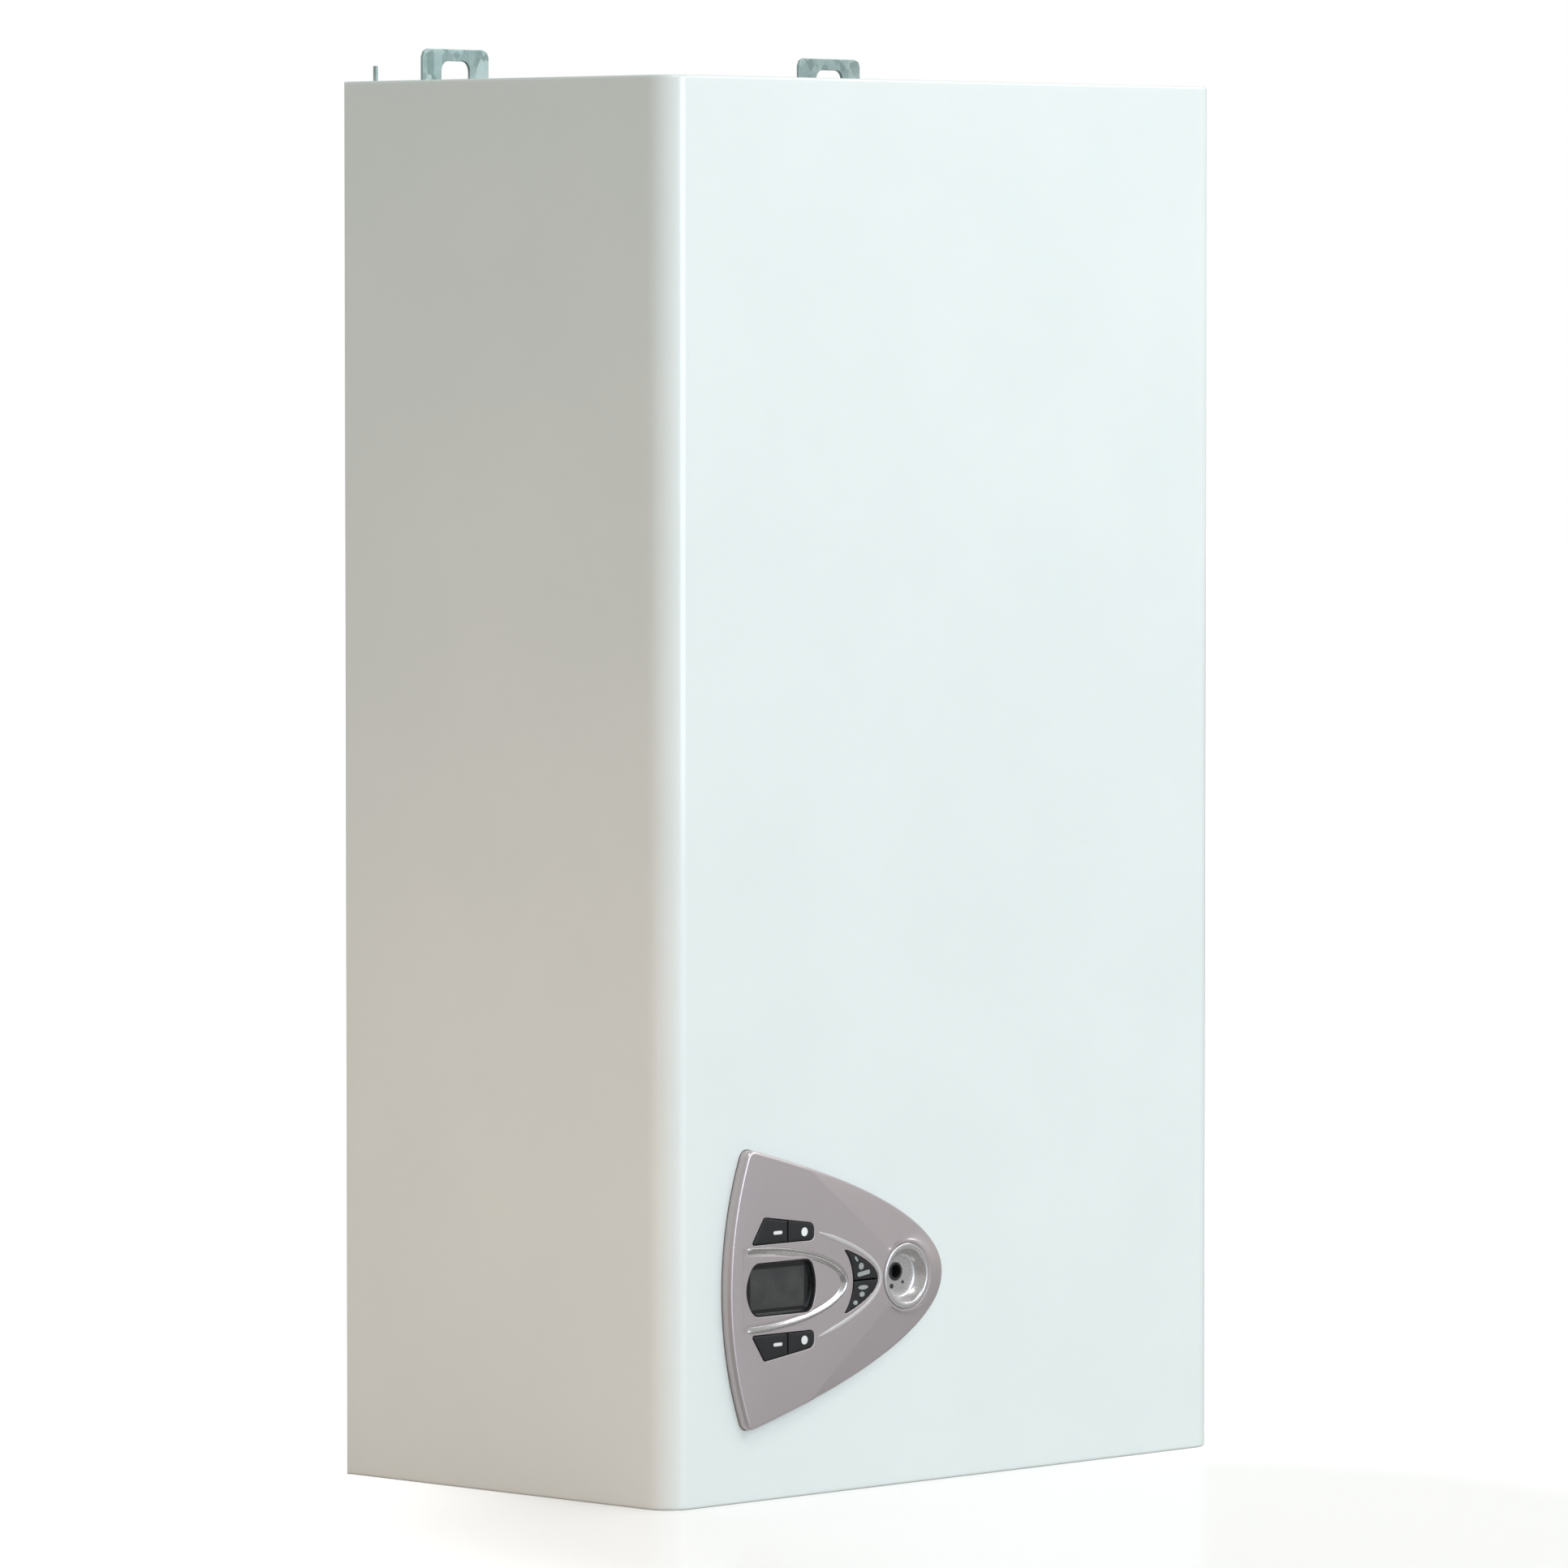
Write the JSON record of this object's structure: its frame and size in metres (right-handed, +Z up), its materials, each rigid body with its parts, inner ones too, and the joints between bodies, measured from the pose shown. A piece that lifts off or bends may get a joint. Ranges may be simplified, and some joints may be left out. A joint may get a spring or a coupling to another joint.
{
  "type": "wall-hung combination boiler",
  "caption": "Wall-hung gas combination boiler: white sheet casing, pick-shaped silver control panel with display and keys, hanging lugs, sealed chamber, fan, pump and pipe unions.",
  "frame": {"origin": "under the middle of the whole boiler, on the plane of the casing's bottom edge", "axes": "+X to the right as the panel is seen, +Y back to the wall, +Z up"},
  "size_m": [0.4, 0.236, 0.7175],
  "materials": {
    "white_paint": "smooth satin powder coat",
    "zinc_sheet": "galvanised, dull and slightly mottled",
    "black_rubber": "matt",
    "clear_glass": "clear",
    "bare_steel": "rolled",
    "fibre_board": "pressed fibre, matt",
    "copper": "drawn copper, slightly dulled",
    "brass": "turned and forged",
    "white_ceramic": "glazed",
    "cast_alloy": "die cast",
    "white_plastic": "moulded",
    "red_paint": "gloss enamel",
    "red_plastic": "moulded",
    "blue_plastic": "moulded",
    "cast_iron": "coated casting",
    "black_plastic": "moulded",
    "grey_plastic": "moulded",
    "green_board": "lacquered board",
    "silver_plastic": "fine metallic satin",
    "smoked_window": "clear gloss over dark smoke",
    "bright_chrome": "plated",
    "dark_key": "soft matt"
  },
  "bodies": {
    "boiler": {"back_frame": "zinc_sheet", "hanging_lug_left": "zinc_sheet", "hanging_lug_right": "zinc_sheet", "sealed_chamber": "zinc_sheet", "chamber_gasket": "black_rubber", "chamber_cover": "zinc_sheet", "sight_glass": "clear_glass", "combustion_box": "bare_steel", "combustion_lining": "fibre_board", "heat_exchanger": "copper", "burner": "bare_steel", "gas_manifold": "brass", "ignition_electrodes": "white_ceramic", "flue_hood": "zinc_sheet", "fan_housing": "zinc_sheet", "fan_motor": "cast_alloy", "flue_collar": "cast_alloy", "air_inlet_plate_left": "zinc_sheet", "air_inlet_plate_right": "zinc_sheet", "air_pressure_switch": "white_plastic", "expansion_vessel": "red_paint", "vessel_hose": "black_rubber", "pipe_bracket": "zinc_sheet", "union_heating_flow": "brass", "union_hot_water": "brass", "union_cold_water": "brass", "union_heating_return": "brass", "gas_inlet_pipe": "brass", "flow_block": "brass", "return_block": "brass", "safety_valve": "brass", "heating_flow_pipe": "copper", "hot_water_pipe": "copper", "cold_water_pipe": "copper", "heating_return_pipe": "copper", "pump_body": "cast_iron", "pump_motor": "black_plastic", "gas_valve": "cast_alloy", "gas_feed_pipe": "bare_steel", "pressure_gauge": "black_plastic", "gauge_glass": "clear_glass", "mains_gland": "black_plastic", "control_box": "grey_plastic", "control_board": "green_board", "control_panel": "silver_plastic", "display_window": "smoked_window", "display_trim": "bright_chrome", "socket_bowl": "bright_chrome"},
    "key_water_minus": {"key_water_minus": "dark_key"},
    "key_water_plus": {"key_water_plus": "dark_key"},
    "key_heating_minus": {"key_heating_minus": "dark_key"},
    "key_heating_plus": {"key_heating_plus": "dark_key"},
    "key_mode": {"key_mode": "dark_key"},
    "key_reset": {"key_reset": "dark_key"},
    "fan_wheel": {"fan_impeller": "bare_steel"},
    "pump_wheel": {"pump_rotor": "bare_steel"},
    "safety_knob": {"safety_valve_knob": "red_plastic"},
    "filling_knob": {"filling_tap_knob": "blue_plastic"},
    "needle": {"gauge_needle": "red_plastic"},
    "cover": {"casing": "white_paint"}
  },
  "joints": [
    {"name": "casing_pull", "type": "slide", "parent": "boiler", "child": "cover", "axis": [0, -1, 0], "range_m": [0, 0.3]},
    {"name": "key_water_minus_press", "type": "slide", "parent": "boiler", "child": "key_water_minus", "axis": [0, 1, 0], "range_m": [0, 0.0008], "stiffness_N_per_m": 1000, "springref_m": -0.001},
    {"name": "key_water_plus_press", "type": "slide", "parent": "boiler", "child": "key_water_plus", "axis": [0, 1, 0], "range_m": [0, 0.0008], "stiffness_N_per_m": 1000, "springref_m": -0.001},
    {"name": "key_heating_minus_press", "type": "slide", "parent": "boiler", "child": "key_heating_minus", "axis": [0, 1, 0], "range_m": [0, 0.0008], "stiffness_N_per_m": 1000, "springref_m": -0.001},
    {"name": "key_heating_plus_press", "type": "slide", "parent": "boiler", "child": "key_heating_plus", "axis": [0, 1, 0], "range_m": [0, 0.0008], "stiffness_N_per_m": 1000, "springref_m": -0.001},
    {"name": "key_mode_press", "type": "slide", "parent": "boiler", "child": "key_mode", "axis": [0, 1, 0], "range_m": [0, 0.0008], "stiffness_N_per_m": 1000, "springref_m": -0.001},
    {"name": "key_reset_press", "type": "slide", "parent": "boiler", "child": "key_reset", "axis": [0, 1, 0], "range_m": [0, 0.0008], "stiffness_N_per_m": 1000, "springref_m": -0.001},
    {"name": "fan_spin", "type": "hinge", "parent": "boiler", "child": "fan_wheel", "pos_m": [0.031, 0.028, 0.6129], "axis": [0, 1, 0], "continuous": true},
    {"name": "pump_spin", "type": "hinge", "parent": "boiler", "child": "pump_wheel", "pos_m": [0.138, 0.0877, 0.17], "axis": [0, 1, 0], "continuous": true},
    {"name": "safety_knob_turn", "type": "hinge", "parent": "boiler", "child": "safety_knob", "pos_m": [0.0975, 0.0174, 0.0796], "axis": [0, 1, 0], "range_deg": [0, 90], "stiffness_Nm_per_rad": 0.3},
    {"name": "filling_knob_turn", "type": "hinge", "parent": "boiler", "child": "filling_knob", "pos_m": [0.033, 0.062, 0.018], "axis": [0, 0, 1], "range_deg": [0, 270]},
    {"name": "gauge_needle_turn", "type": "hinge", "parent": "boiler", "child": "needle", "pos_m": [-0.033, 0.02, 0.0146], "axis": [0, 0, 1], "range_deg": [0, 270], "stiffness_Nm_per_rad": 0.0005}
  ]
}
